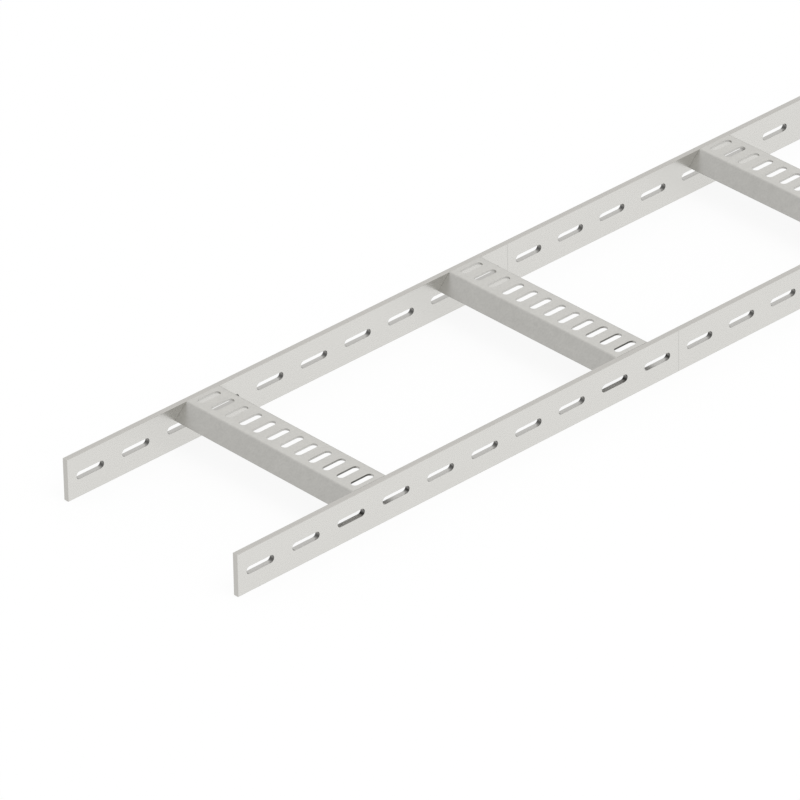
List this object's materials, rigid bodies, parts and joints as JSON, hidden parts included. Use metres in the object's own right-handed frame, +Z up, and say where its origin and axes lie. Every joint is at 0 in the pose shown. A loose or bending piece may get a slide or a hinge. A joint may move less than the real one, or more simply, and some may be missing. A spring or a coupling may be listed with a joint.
{
  "type": "cable ladder section",
  "caption": "Straight cable ladder section: two flat bar side rails with a row of slots, joined by welded trapezoidal rungs with slotted flat tops",
  "frame": {"origin": "under the middle of the section's length and width, in the plane of the side rails' lower edges", "axes": "+X along the side rails, +Y across to side_rail_left, +Z up through the rungs' slotted tops"},
  "size_m": [3, 0.21, 0.04],
  "materials": {
    "rail_steel": "satin, brushed along the bar",
    "rung_steel": "satin, fine mottled grain of pickled sheet"
  },
  "bodies": {
    "root": {"side_rail_left": "rail_steel", "side_rail_right": "rail_steel", "rung_01": "rung_steel", "rung_02": "rung_steel", "rung_03": "rung_steel", "rung_04": "rung_steel", "rung_05": "rung_steel", "rung_06": "rung_steel", "rung_07": "rung_steel", "rung_08": "rung_steel", "rung_09": "rung_steel", "rung_10": "rung_steel"}
  },
  "joints": []
}
